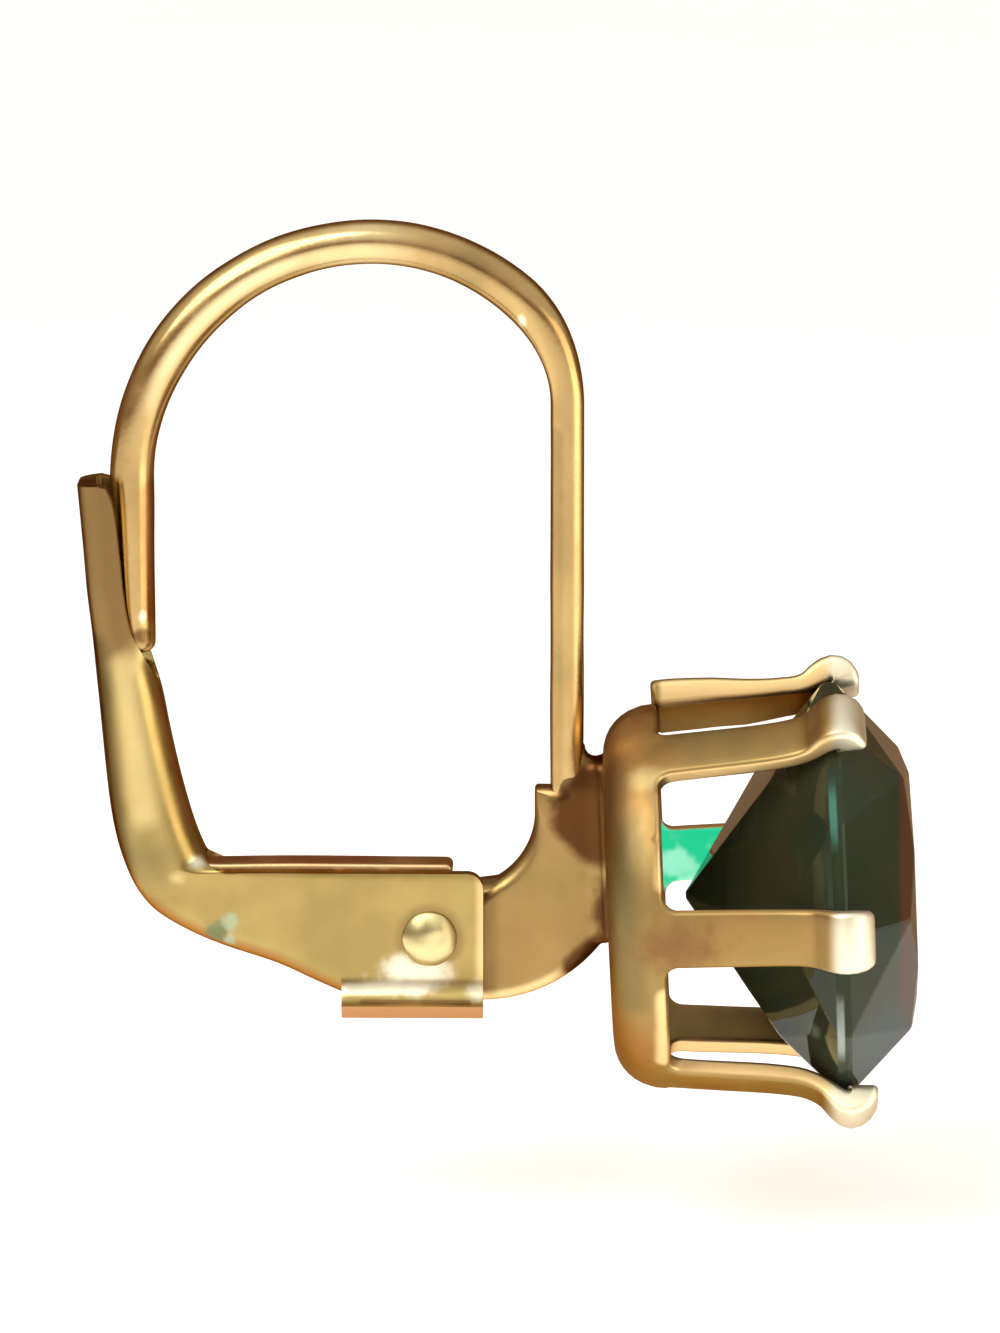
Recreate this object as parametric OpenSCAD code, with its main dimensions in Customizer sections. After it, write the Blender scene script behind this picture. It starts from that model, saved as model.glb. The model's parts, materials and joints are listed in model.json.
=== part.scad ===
// Leverback earring: a bent ear wire with a hinged lever, and a six-prong basket with one stone.
// Millimetres. +X points to the front, where the stone faces, and +Z points up.
// The origin is the underside of the arch, where the wire hangs in the ear lobe.

/* [Ear wire] */
// Diameter of the round wire over the arch
wire_d = 0.88; // [0.76:0.02:0.9]
// Radius of the arch at the back, to the middle of the wire
back_r = 4.8; // [4.6:0.05:5.4]
// Radius of the crown at the front, to the middle of the wire
crown_r = 4.4; // [4.1:0.1:4.7]
// Angle that the crown turns before the tighter shoulder
crown_sweep = 40; // [32:1:46]
// Radius of the shoulder, to the middle of the wire
shoulder_r = 2.9; // [2.6:0.1:3.2]
// Thickness of the flattened front leg
leg_t = 0.68; // [0.56:0.02:0.74]
// Depth of the free end of the wire below the ear seat
tail_drop = 7.83; // [7.0:0.1:8.4]

/* [Base plate] */
// Thickness of the flattened foot of the wire
plate_t = 0.84; // [0.7:0.02:0.86]
// Depth of the hinge below the ear seat
hinge_drop = 13.53; // [13.0:0.1:14.4]
// Distance of the hinge behind the middle of the leg
hinge_set = 2.74; // [2.5:0.1:3.0]
// Height of the foot above the hinge
plate_h = 3.03; // [2.8:0.05:3.2]
// Step from the leg out to the inner edge of the foot
plate_step = 0.3; // [0.15:0.05:0.4]
// Radius of the bite in the foot's inner edge
bite_r = 1.56; // [1.4:0.02:1.66]
// Radius of the round nose that turns between the lever's cheeks
cam_r = 1.05; // [0.85:0.05:1.05]
// Depth of the foot's belly below the hinge
belly_drop = 1.4; // [1.2:0.05:1.5]
// Radius of the foot's belly
belly_r = 3.0; // [2.8:0.1:3.4]
// Length of the solder neck from the leg to the basket
neck_l = 0.5; // [0.35:0.05:0.8]
// Height of the solder neck above the hinge
neck_h = 3.63; // [3.3:0.05:3.8]

/* [Basket] */
// Height of the basket's middle above the hinge
basket_h = 0.67; // [0.4:0.05:0.9]
// Upward tilt of the basket's axis
basket_tilt = 2.5; // [0:0.5:5]
// Outer radius of the cup
cup_r = 3.84; // [3.7:0.02:3.92]
// Depth of the cup, from its back to the rim between the prongs
cup_depth = 1.12; // [0.9:0.02:1.4]
// Rounding of the cup's back edge
cup_round = 0.95; // [0.5:0.05:0.95]
// Thickness of the basket's sheet
cup_t = 0.36; // [0.26:0.02:0.42]
// Number of prongs
prongs = 6; // [6:1:8]
// Width of a prong
prong_w = 1.14; // [0.8:0.02:1.3]
// How far the prongs stand proud of the cup at its rim
prong_step = 0.14; // [0.06:0.02:0.2]
// Lean of the prongs up to the flare
prong_lean = 6; // [3:0.5:8]
// Height at which the prongs begin to flare
flare_z = 3.1; // [2.6:0.1:3.4]
// Reach of a claw over the edge of the stone
claw_reach = 0.26; // [0.15:0.01:0.35]
// Rounding in the corners of the windows
window_round = 0.3; // [0.1:0.05:0.4]

/* [Stone] */
// Radius of the stone at its girdle
stone_r = 4.25; // [4.1:0.05:4.4]
// Height of the girdle's lower edge above the back of the cup
girdle_z = 4.46; // [4.3:0.02:4.8]
// Thickness of the girdle
girdle_t = 0.24; // [0.12:0.02:0.3]
// Height of the crown above the girdle
crown_h = 1.42; // [1.0:0.02:1.6]
// Depth of the pavilion below the girdle
pavilion_d = 2.95; // [2.5:0.05:3.2]
// Radius of the table at its corners
table_r = 2.35; // [2.1:0.05:2.4]
// Radius of the star facets' tips
star_r = 2.95; // [2.85:0.05:3.2]
// Radius at which the pavilion's lower facets end
lower_r = 3.0; // [2.0:0.1:3.4]
// Gap between the stone and the prongs
stone_gap = 0.05; // [0.02:0.01:0.1]

/* [Lever] */
// Thickness of the lever's sheet
sheet_t = 0.3; // [0.2:0.02:0.34]
// Gap between the wire and each wall of the lever
side_gap = 0.05; // [0.03:0.01:0.1]
// Rounding of the lever's folded outer edges
fold_r = 0.42; // [0.36:0.02:0.5]
// Depth of the lever's top below the ear seat
lever_drop = 4.39; // [4.0:0.1:5.2]
// Lean of the lever's arm
arm_lean = 4.6; // [3:0.2:6]
// Depth of the walls beside the wire
wall_d = 0.73; // [0.6:0.01:0.8]
// Depth of the closed arm at its top
arm_d = 1.28; // [1.2:0.02:1.4]
// Lean of the arm's inner face
inner_lean = 12; // [9:0.5:13]
// Outer radius of the bend
bend_r = 2.55; // [2.2:0.05:2.9]
// Slope of the keel that runs from the bend to the hinge
keel_slope = 23; // [20:1:26]
// Distance of the keel's outer face from the hinge
keel_drop = 1.83; // [1.7:0.02:1.95]
// Length of the cheeks behind the hinge, along their lower edge
cheek_back = 1.76; // [1.6:0.02:2.0]
// Length of the cheeks in front of the hinge
cheek_front = 1.08; // [0.95:0.02:1.2]
// Height of the cheeks above the hinge
cheek_h = 1.31; // [1.2:0.01:1.5]
// Depth below the hinge at which the lips turn outward
lip_drop = 0.77; // [0.7:0.01:0.85]
// Radius of the lips
lip_r = 0.6; // [0.4:0.05:0.7]
// Angle that the lips turn
lip_turn = 60; // [35:1:75]
// Thickness of the spring tongue
tongue_t = 0.27; // [0.2:0.01:0.3]
// Width of the spring tongue
tongue_w = 0.82; // [0.6:0.02:0.84]
// Reach of the tongue in front of the hinge
tongue_reach = 0.45; // [0.2:0.05:0.5]
// Gap between the tongue and the nose of the foot
tongue_gap = 0.06; // [0.03:0.01:0.1]

/* [Rivet] */
// Radius of the rivet's shank
rivet_r = 0.36; // [0.25:0.01:0.4]
// Radial clearance of the shank in the foot
run_gap = 0.05; // [0.02:0.01:0.08]
// Radial clearance of the shank in the cheeks
seat_gap = 0.02; // [0.01:0.01:0.04]
// Radius of the rivet's heads
head_r = 0.55; // [0.46:0.01:0.6]
// Height of the rivet's heads
head_h = 0.2; // [0.12:0.01:0.26]

/* [Hidden] */
$fn = 64;
gold = "#d9b25f";
green = "#1f3a2c";

wire_r = wire_d / 2;
wire_sides = 20;
// The arch's centres lie on its middle line, a wire's radius above the ear seat
back_c = [0, wire_r - back_r];
crown_c = [0, wire_r - crown_r];
shoulder_c = crown_c + (crown_r - shoulder_r) * [sin(crown_sweep), cos(crown_sweep)];
leg_x = shoulder_c.x + shoulder_r;
hinge = [leg_x - hinge_set, -hinge_drop];
foot_top = hinge.y + plate_h;
foot_in = leg_x - leg_t / 2 - plate_step;

basket_c = [leg_x + leg_t / 2 + neck_l, hinge.y + basket_h];
// Heights on the stone, from the girdle: the main facets are planes, and the star tips lie on two of them
half_turn = 180 / prongs;
star_z = crown_h * (stone_r - star_r * cos(half_turn)) / (stone_r - table_r);
lower_z = pavilion_d * (stone_r - lower_r * cos(half_turn)) / stone_r;

channel = wire_d / 2 + side_gap;
outer_w = channel + sheet_t;
// The wire's end rests just clear of the lever's back wall
seat = [-back_r - wire_r - side_gap - sheet_t, -tail_drop];
arm_in = [cos(arm_lean), sin(arm_lean)];
keel_in = [sin(keel_slope), cos(keel_slope)];
cheek_top = hinge.y + cheek_h;
cheek_x = hinge.x + cheek_front;
keel_x = hinge.x - cheek_back;
lip_z = hinge.y - lip_drop;
tongue_top = hinge.y + cam_r + tongue_gap + tongue_t;
closure_z = -tail_drop - 0.2;
// Depths at which a fold ends and a flat wall begins, and how far the fold laps inside the wall
fold_d = fold_r + 0.08;
side_d = fold_r + 0.03;
fold_lap = 0.02;

function dot2(a, b) = a.x * b.x + a.y * b.y;
function arc(c, r, from, to, steps = 10) =
    [for (i = [0:steps]) let (a = from + (to - from) * i / steps) c + r * [cos(a), sin(a)]];

// Where the arm's and the keel's outer faces, both set in by the bend's radius, cross
function crossing(n, d, m, e) =
    [d * m.y - e * n.y, n.x * e - m.x * d] / (n.x * m.y - n.y * m.x);
bend_c = crossing(arm_in, dot2(arm_in, seat) + bend_r, keel_in, dot2(keel_in, hinge) + bend_r - keel_drop);

// A point in the side view: so deep behind the arm's outer face, at this height
function arm_pt(depth, z) = [seat.x - (z - seat.y) * tan(arm_lean) + depth / cos(arm_lean), z];
// A point so deep behind the arm's inner face, at this height
function inner_pt(depth, z) =
    [arm_pt(arm_d, closure_z).x + (closure_z - z) * tan(inner_lean) - depth / cos(inner_lean), z];
// A point so deep above the keel's outer face, at this place along X
function keel_pt(depth, x) =
    [x, hinge.y - keel_drop / cos(keel_slope) - (x - hinge.x) * tan(keel_slope) + depth / cos(keel_slope)];

// Stands an outline of the side view up, centred on the middle plane
module upright(width) {
    rotate([90, 0, 0]) linear_extrude(height = width, center = true) children();
}

// One ring of the wire round a point of its middle line: the turn of its outer side, and half its thickness
function wire_ring(at, turn, half) = [
    for (i = [0:wire_sides - 1])
        let (a = 90 + 360 / wire_sides * i, out = max(-half, min(half, wire_r * cos(a))))
            [at.x + out * cos(turn), wire_r * sin(a), at.y + out * sin(turn)]
];
function bend_rings(c, r, from, to, steps, start_half, end_half) = [
    for (i = [0:steps])
        let (f = i / steps, turn = from + (to - from) * f)
            wire_ring(c + r * [cos(turn), sin(turn)], turn, start_half + (end_half - start_half) * f)
];

// A closed solid through rings of equally many points, in order along a path; each end is closed
// by a strip of quads between the first and the second half of its ring
module sweep(rings) {
    n = len(rings[0]);
    last = len(rings) - 1;
    polyhedron(
        points = [for (ring = rings) each ring],
        faces = concat(
            [for (i = [0:n / 2 - 2]) [n - 1 - i, n - 2 - i, i + 1, i]],
            [for (i = [0:n / 2 - 2]) [i, i + 1, n - 2 - i, n - 1 - i] + last * n * [1, 1, 1, 1]],
            [for (k = [0:last - 1], i = [0:n - 1])
                [k * n + i, k * n + (i + 1) % n, (k + 1) * n + (i + 1) % n, (k + 1) * n + i]]
        )
    );
}

// The wire: straight back with its free end, arch, shoulder and the leg, which is hammered flat
module ear_wire() {
    sweep(concat(
        [wire_ring([-back_r, -tail_drop], 180, wire_r)],
        bend_rings(back_c, back_r, 180, 90, 16, wire_r, wire_r),
        bend_rings(crown_c, crown_r, 85, 90 - crown_sweep, 7, wire_r, wire_r),
        bend_rings(shoulder_c, shoulder_r, 85 - crown_sweep, 0, 9, wire_r, leg_t / 2),
        [wire_ring([leg_x, foot_top - leg_t], 0, leg_t / 2)]
    ));
}

// X of the basket's back at a height, set in half a sheet
function neck_x(z) = basket_c.x - (z - basket_c.y) * tan(basket_tilt) + cup_t / 2;

// The flattened foot of the wire, with its round nose, and the solder neck
module foot() {
    belly_c = [hinge.x + cam_r, hinge.y - belly_drop + belly_r];
    step_h = 0.6;
    bite_c = [foot_in - bite_r, foot_top - step_h];
    neck_top = hinge.y + neck_h;
    neck_lap = 0.1;
    difference() {
        upright(plate_t) polygon(concat(
            [[foot_in, foot_top]],
            arc(bite_c, bite_r, 0, -60),
            arc(hinge, cam_r, 70, 254, 24),
            arc(belly_c, belly_r, -90, -37),
            [[neck_x(hinge.y), hinge.y - neck_lap], [neck_x(neck_top), neck_top]],
            [[leg_x, neck_top], [leg_x, foot_top]]
        ));
        translate([hinge.x, 0, hinge.y]) rotate([90, 0, 0])
            cylinder(r = rivet_r + run_gap, h = 2 * plate_t, center = true);
    }
}

// Outer radius of a prong's straight strip at a height above the back of the cup
function strip_r(z) = cup_r + prong_step + (z - cup_depth) * tan(prong_lean);

// Side view of a prong, as [radius, height]: strip, flare and the claw that bends over the girdle
module prong_outline() {
    root_z = cup_depth - cup_t;
    seat_r = stone_r + stone_gap;
    girdle_top = girdle_z + girdle_t;
    claw_r = stone_r - claw_reach;
    claw_z = girdle_top + claw_reach * star_z / (stone_r - star_r) + 1.5 * stone_gap;
    seat_z = girdle_z - 0.25;
    tip_r = 0.16;
    knee_r = 0.3;
    polygon(concat(
        [[strip_r(root_z) - cup_t, root_z], [strip_r(flare_z) - cup_t, flare_z], [seat_r, seat_z]],
        [[seat_r, girdle_top + stone_gap], [claw_r, claw_z]],
        arc([claw_r + tip_r, claw_z + tip_r / 8], tip_r, 180, 60, 5),
        arc([seat_r + cup_t - knee_r, girdle_z], knee_r, 50, -20, 5),
        [[strip_r(flare_z), flare_z], [strip_r(root_z), root_z]]
    ));
}

module prong() {
    lap = 0.05;
    rotate([90, 0, 0]) linear_extrude(height = prong_w, center = true) prong_outline();
    // Round corners of the windows on both sides of the prong
    for (side = [-1, 1]) {
        rotate([0, 0, side * asin(prong_w / 2 / cup_r)]) translate([cup_r - cup_t, 0, cup_depth])
            rotate([90, 0, 90]) linear_extrude(height = cup_t) difference() {
                translate([side > 0 ? -lap : -window_round, -2 * lap])
                    square([window_round + lap, window_round + 2 * lap]);
                translate([side * window_round, window_round]) circle(r = window_round);
            }
    }
}

// The stamped basket, with its axis along +Z
module basket() {
    rotate_extrude() polygon(concat(
        [[0, 0]],
        arc([cup_r - cup_round, cup_round], cup_round, -90, 0, 8),
        [[cup_r, cup_depth], [cup_r - cup_t, cup_depth]],
        arc([cup_r - cup_round, cup_round], cup_round - cup_t, 0, -90, 6),
        [[0, cup_t]]
    ));
    for (i = [0:prongs - 1]) {
        rotate([0, 0, 2 * half_turn * i - 90]) prong();
    }
}

module to_basket() {
    translate([basket_c.x, 0, basket_c.y]) rotate([0, 90 - basket_tilt, 0]) children();
}

module hook_setting() {
    color(gold) {
        ear_wire();
        foot();
        to_basket() basket();
    }
}

// A ring of points round the stone's axis
function ring(count, r, z, from = 0) =
    [for (i = [0:count - 1]) let (a = from + 360 / count * i) [r * cos(a), r * sin(a), z]];

// The cut stone, with its axis along +Z and the girdle's lower edge at height 0: table, star, main and
// girdle facets above, and girdle and main facets below, with the main facets between the prongs
module cut_stone() {
    n = prongs;
    star = n;
    upper = 2 * n;
    under = 4 * n;
    lower = 6 * n;
    culet = 7 * n;
    polyhedron(
        points = concat(
            ring(n, table_r, girdle_t + crown_h), ring(n, star_r, girdle_t + star_z, half_turn),
            ring(2 * n, stone_r, girdle_t), ring(2 * n, stone_r, 0),
            ring(n, lower_r, -lower_z, half_turn), [[0, 0, -pavilion_d]]
        ),
        faces = concat(
            [[for (i = [n - 1:-1:0]) i]],
            [for (i = [0:n - 1]) [i, (i + 1) % n, star + i]],
            [for (i = [0:n - 1]) [i, star + i, upper + 2 * i, star + (i + n - 1) % n]],
            [for (i = [0:n - 1]) [star + i, upper + 2 * i + 1, upper + 2 * i]],
            [for (i = [0:n - 1]) [star + i, upper + (2 * i + 2) % (2 * n), upper + 2 * i + 1]],
            [for (i = [0:2 * n - 1])
                let (k = (i + 1) % (2 * n)) [upper + i, upper + k, under + k, under + i]],
            [for (i = [0:n - 1]) [lower + i, under + 2 * i, under + 2 * i + 1]],
            [for (i = [0:n - 1]) [lower + i, under + 2 * i + 1, under + (2 * i + 2) % (2 * n)]],
            [for (i = [0:n - 1]) [culet, lower + (i + n - 1) % n, under + 2 * i, lower + i]]
        )
    );
}

module stone() {
    color(green) to_basket() translate([0, 0, girdle_z]) rotate([0, 0, half_turn - 90]) cut_stone();
}

// Half a side of a folded edge's section, as [depth, across]: a round corner of the sheet and the beginning
// of a wall, which laps just inside the flat wall
function fold_side(r, lap) =
    concat([[fold_d, outer_w - fold_r + r + lap]], arc([fold_r, outer_w - fold_r], r, 90, 180, 5));
function other_side(side) = [for (i = [len(side) - 1:-1:0]) [side[i].x, -side[i].y]];
function across_back(side) = [for (p = side) [p.x, -p.y]];
fold_section =
    let (outer = fold_side(fold_r, -fold_lap), inner = fold_side(fold_r - sheet_t, fold_lap))
    concat(outer, other_side(outer), across_back(inner), other_side(across_back(inner)));
// That section with its outer face at a point of the side view, and its depth along a direction
function fold_ring(at, inward) =
    [for (p = fold_section) [at.x + p.x * inward.x, p.y, at.y + p.x * inward.y]];

// The outer edge of the lever, from the top of the arm round the bend to the end of the keel
module folded_edge() {
    steps = 10;
    from = 180 + arm_lean;
    to = 270 - keel_slope;
    sweep(concat(
        [fold_ring(arm_pt(0, -lever_drop), arm_in)],
        [for (i = [0:steps])
            let (a = from + (to - from) * i / steps, out = [cos(a), sin(a)])
                fold_ring(bend_c + bend_r * out, -out)],
        [fold_ring(keel_pt(0, keel_x), keel_in)]
    ));
}

// The inner face of the closed arm, folded the same way
module folded_face() {
    inward = -[cos(inner_lean), sin(inner_lean)];
    sweep([
        fold_ring(inner_pt(0, tongue_top - tongue_t), inward),
        fold_ring(inner_pt(0, closure_z), inward)
    ]);
}

// Side view of the flat walls and cheeks
module wall_outline() {
    corner = 0.32;
    mouth_h = 0.4;
    knee = arm_pt(wall_d + sheet_t / 2, -tail_drop + side_d / 2);
    lap_h = 0.5;
    polygon(concat(
        [arm_pt(side_d, -lever_drop), arm_pt(fold_d, -lever_drop)],
        [arm_pt(wall_d, -lever_drop - mouth_h), arm_pt(wall_d, -tail_drop + 2 * sheet_t)],
        [knee, inner_pt(sheet_t / 2, closure_z), inner_pt(side_d, closure_z - lap_h)],
        [inner_pt(side_d, cheek_top + lap_h), inner_pt(0, cheek_top)],
        arc([cheek_x - corner, cheek_top - corner], corner, 90, 0, 5),
        [[cheek_x, lip_z], [keel_x + fold_d * keel_in.x, lip_z], keel_pt(side_d, keel_x)],
        arc(bend_c, bend_r - side_d, 272 - keel_slope, 178 + arm_lean, 13)
    ));
}

// The lower edge of a cheek, turned outward
module lip() {
    translate([keel_x, -outer_w - lip_r, lip_z]) rotate([0, 90, 0]) rotate([0, 0, 90 - lip_turn])
        rotate_extrude(angle = lip_turn) translate([lip_r, 0]) square([sheet_t, cheek_x - keel_x]);
}

// The spring tongue, one sheet with the arm's inner face
module tongue() {
    root = inner_pt(sheet_t, tongue_top + 0.3);
    tip = hinge.x + tongue_reach;
    mid = tongue_top - tongue_t / 2;
    upright(tongue_w) polygon(concat(
        [root, inner_pt(0, tongue_top + 0.2), [inner_pt(0, tongue_top).x + 0.1, tongue_top]],
        arc([tip - tongue_t / 2, mid], tongue_t / 2, 90, -90, 8),
        [inner_pt(sheet_t, tongue_top - tongue_t)]
    ));
}

module lever() {
    color(gold) difference() {
        union() {
            folded_edge();
            folded_face();
            for (side = [-1, 1]) {
                translate([0, side * (outer_w - sheet_t / 2), 0]) upright(sheet_t) wall_outline();
            }
            lip();
            mirror([0, 1, 0]) lip();
            tongue();
        }
        translate([hinge.x, 0, hinge.y]) rotate([90, 0, 0])
            cylinder(r = rivet_r + seat_gap, h = 3 * outer_w, center = true);
    }
}

// A shank with a low domed head on each end
module rivet() {
    dome_r = (head_r * head_r + head_h * head_h) / (2 * head_h);
    face = outer_w + seat_gap;
    color(gold) translate([hinge.x, 0, hinge.y]) rotate([90, 0, 0]) {
        cylinder(r = rivet_r, h = 2 * face, center = true);
        for (side = [0, 1]) mirror([0, 0, side]) intersection() {
            translate([0, 0, face + head_h - dome_r]) sphere(r = dome_r);
            translate([0, 0, face]) cylinder(r = head_r + seat_gap, h = head_h + seat_gap);
        }
    }
}

hook_setting();
stone();
lever();
rivet();
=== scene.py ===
# Leverback earring with a round green stone: the finished surfaces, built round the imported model
import json
import math
import bpy
import bmesh
import numpy as np
from mathutils import Matrix, Vector, noise
from mathutils.geometry import delaunay_2d_cdt


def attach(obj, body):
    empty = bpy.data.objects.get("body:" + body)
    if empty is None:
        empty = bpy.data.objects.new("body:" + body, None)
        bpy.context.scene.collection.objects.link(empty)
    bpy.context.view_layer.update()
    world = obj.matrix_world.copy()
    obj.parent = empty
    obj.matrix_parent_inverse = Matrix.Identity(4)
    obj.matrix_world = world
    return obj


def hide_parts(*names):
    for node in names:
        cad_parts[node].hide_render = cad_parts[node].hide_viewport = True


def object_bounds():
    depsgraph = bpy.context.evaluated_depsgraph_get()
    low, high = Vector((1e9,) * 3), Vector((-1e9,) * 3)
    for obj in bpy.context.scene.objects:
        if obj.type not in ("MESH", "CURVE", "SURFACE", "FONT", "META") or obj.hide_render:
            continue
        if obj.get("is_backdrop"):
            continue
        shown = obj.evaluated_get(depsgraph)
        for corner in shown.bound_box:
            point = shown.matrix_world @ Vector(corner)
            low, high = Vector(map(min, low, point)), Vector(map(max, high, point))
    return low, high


mm = 0.001  # every size below is in millimetres
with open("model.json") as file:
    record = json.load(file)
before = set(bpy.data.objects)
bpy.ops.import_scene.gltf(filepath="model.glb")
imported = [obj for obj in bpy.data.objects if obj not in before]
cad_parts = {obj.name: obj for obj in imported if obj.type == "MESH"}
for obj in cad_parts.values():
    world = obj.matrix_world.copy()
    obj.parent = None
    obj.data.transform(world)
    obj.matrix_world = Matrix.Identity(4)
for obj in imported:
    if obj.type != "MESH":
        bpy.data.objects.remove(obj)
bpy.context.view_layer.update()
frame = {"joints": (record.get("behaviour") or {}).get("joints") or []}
hingeX, _, hingeZ = [value / mm for value in frame["joints"][0]["pos_m"]]
print("frame loaded, hinge at", round(hingeX, 3), round(hingeZ, 3))


# Small tools for points and lines

def direction(angle):
    turn = math.radians(angle)
    return Vector((math.cos(turn), math.sin(turn)))


def arc(centre, radius, start, end, steps):
    return [Vector(centre) + radius * direction(start + (end - start) * i / steps) for i in range(steps + 1)]


def blendStep(value, low, high):  # 0 below low, 1 above high, smooth between
    share = min(1.0, max(0.0, (value - low) / (high - low)))
    return share * share * (3 - 2 * share)


def smoothLine(points, steps):  # a smooth line through every point
    points = [Vector(p) for p in points]
    line = []
    for i in range(len(points) - 1):
        before, here = points[max(i - 1, 0)], points[i]
        there, after = points[i + 1], points[min(i + 2, len(points) - 1)]
        for k in range(steps):
            t = k / steps
            line.append(0.5 * (2 * here + (there - before) * t + (2 * before - 5 * here + 4 * there - after) * t ** 2
                               + (3 * here - before - 3 * there + after) * t ** 3))
    return line + [points[-1]]


def evenLine(points, spacing):  # the same line with points at an even spacing
    line = [points[0]]
    for here, there in zip(points, points[1:]):
        count = max(1, round((there - here).length / spacing))
        line += [here.lerp(there, k / count) for k in range(1, count + 1)]
    return line


def distanceTo(line, points):  # distance of each point from a line
    line, points = np.array(line), np.array(points)
    nearest = np.full(len(points), 1e9)
    for a, b in zip(line, line[1:]):
        along = b - a
        share = np.clip(((points - a) @ along) / max(along @ along, 1e-12), 0, 1)
        nearest = np.minimum(nearest, np.linalg.norm(points - a - share[:, None] * along, axis=1))
    return nearest


def sideNormals(line, closed):  # unit normals to the left of a line
    normals = []
    for i in range(len(line)):
        before = line[i - 1] if closed or i else line[0]
        after = line[(i + 1) % len(line)] if closed or i < len(line) - 1 else line[-1]
        along = (after - before).normalized()
        normals.append(Vector((-along.y, along.x)))
    return normals


def insideLine(point, line):
    inside = False
    for a, b in zip(line, line[1:] + line[:1]):
        if (a.y > point.y) != (b.y > point.y) and point.x < (b.x - a.x) * (point.y - a.y) / (b.y - a.y) + a.x:
            inside = not inside
    return inside


# Tools for meshes

def loft(rings, capStart=True, capEnd=True, closed=True):
    bm = bmesh.new()
    rows = [[bm.verts.new(p) for p in ring] for ring in rings]
    count = len(rows[0])
    for low, high in zip(rows, rows[1:]):
        for i in range(count if closed else count - 1):
            k = (i + 1) % count
            bm.faces.new((low[i], low[k], high[k], high[i]))
    if capStart:
        bm.faces.new(reversed(rows[0]))
    if capEnd:
        bm.faces.new(rows[-1])
    return bm


def sheetMesh(edge, rest, half, radius, spacing, place, closed=False):
    # a flat piece with a rounded edge, bent into its place by place(u, v, n)
    edgeRows = 5  # rows of points across the rounded edge
    outline = edge + rest
    normals = sideNormals(edge, closed)
    ringLine = edge + [edge[0]] if closed else edge
    points = list(outline)
    for step in range(1, edgeRows + 1):
        depth = radius * (1 - math.cos(math.radians(90 / edgeRows * step)))
        inner = [p + n * depth for p, n in zip(edge, normals)]
        keep = distanceTo(ringLine, inner) > depth * 0.96
        points += [p for i, (p, ok) in enumerate(zip(inner, keep)) if ok and (closed or 0 < i < len(inner) - 1)]
    across = np.array(outline)
    (lowU, lowV), (highU, highV) = across.min(0), across.max(0)
    rows = int((highV - lowV) / spacing) + 1
    grid = [Vector((lowU + spacing * (i + 0.5 * (k % 2)), lowV + spacing * k))
            for k in range(1, rows + 1) for i in range(1, int((highU - lowU) / spacing) + 1)]
    whole = outline + [outline[0]]
    clear = (distanceTo(ringLine, grid) > radius + spacing * 0.5) & (distanceTo(whole, grid) > spacing * 0.5)
    points += [p for p, ok in zip(grid, clear) if ok and insideLine(p, outline)]
    flat, _, cells, *_ = delaunay_2d_cdt(points, [], [list(range(len(outline)))], 1, 1e-6)
    depth = np.minimum(distanceTo(ringLine, flat), radius)
    height = half - radius + np.sqrt(np.maximum(radius ** 2 - (radius - depth) ** 2, 0))
    bm = bmesh.new()
    top = [bm.verts.new(place(p.x, p.y, h)) for p, h in zip(flat, height)]
    under = [bm.verts.new(place(p.x, p.y, -h)) for p, h in zip(flat, height)]
    for cell in cells:
        bm.faces.new([top[i] for i in cell])
        bm.faces.new([under[i] for i in reversed(cell)])
    if half > radius + 1e-6:
        for i in range(len(edge) if closed else len(edge) - 1):
            k = (i + 1) % len(edge)
            bm.faces.new((top[k], top[i], under[i], under[k]))
    return bm


def joinMeshes(*meshes):
    whole = bmesh.new()
    for bm in meshes:
        data = bpy.data.meshes.new("part")
        bm.to_mesh(data)
        bm.free()
        whole.from_mesh(data)
        bpy.data.meshes.remove(data)
    return whole


def mirrorAcross(bm):  # doubles a half on the near side into a whole
    copied = bmesh.ops.duplicate(bm, geom=bm.verts[:] + bm.edges[:] + bm.faces[:])["geom"]
    for v in copied:
        if isinstance(v, bmesh.types.BMVert):
            v.co.y = -v.co.y
    bmesh.ops.reverse_faces(bm, faces=[f for f in copied if isinstance(f, bmesh.types.BMFace)])


def roughen(bm, amount, scale, seed):  # slow waves of hand-worked metal: their height, length and seed
    bm.normal_update()
    for v in bm.verts:
        v.co += v.normal * amount * noise.noise(v.co / scale + Vector((seed, 0, 0)))


def addObject(name, data):
    made = bpy.data.objects.new(name, data)
    bpy.context.scene.collection.objects.link(made)
    return made


def meshObject(name, bm):  # from millimetres to metres
    bm.transform(Matrix.Scale(mm, 4))
    data = bpy.data.meshes.new(name)
    bm.to_mesh(data)
    bm.free()
    return addObject(name, data)


def finishPiece(name, bm, body, material, nodes=(), smooth=True):
    closeBy = 0.0004
    bmesh.ops.remove_doubles(bm, verts=bm.verts, dist=closeBy)
    bmesh.ops.dissolve_degenerate(bm, edges=bm.edges, dist=closeBy)
    bmesh.ops.recalc_face_normals(bm, faces=bm.faces)
    piece = meshObject(name, bm)
    data = piece.data
    data.polygons.foreach_set("use_smooth", [smooth] * len(data.polygons))
    data.materials.append(material)
    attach(piece, body)
    if nodes:
        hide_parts(*nodes)
    print(name, "has", len(data.polygons), "faces")
    return piece


# Tools for materials

def newMaterial(name):
    material = bpy.data.materials.new(name)
    material.use_nodes = True
    return material, material.node_tree, material.node_tree.nodes["Principled BSDF"]


def feed(tree, socket, value):  # a link or a plain value into a socket
    if isinstance(value, bpy.types.NodeSocket):
        tree.links.new(value, socket)
    else:
        socket.default_value = value


def mathNode(tree, operation, *values):
    node = tree.nodes.new("ShaderNodeMath")
    node.operation = operation
    for socket, value in zip(node.inputs, values):
        feed(tree, socket, value)
    return node.outputs[0]


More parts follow.
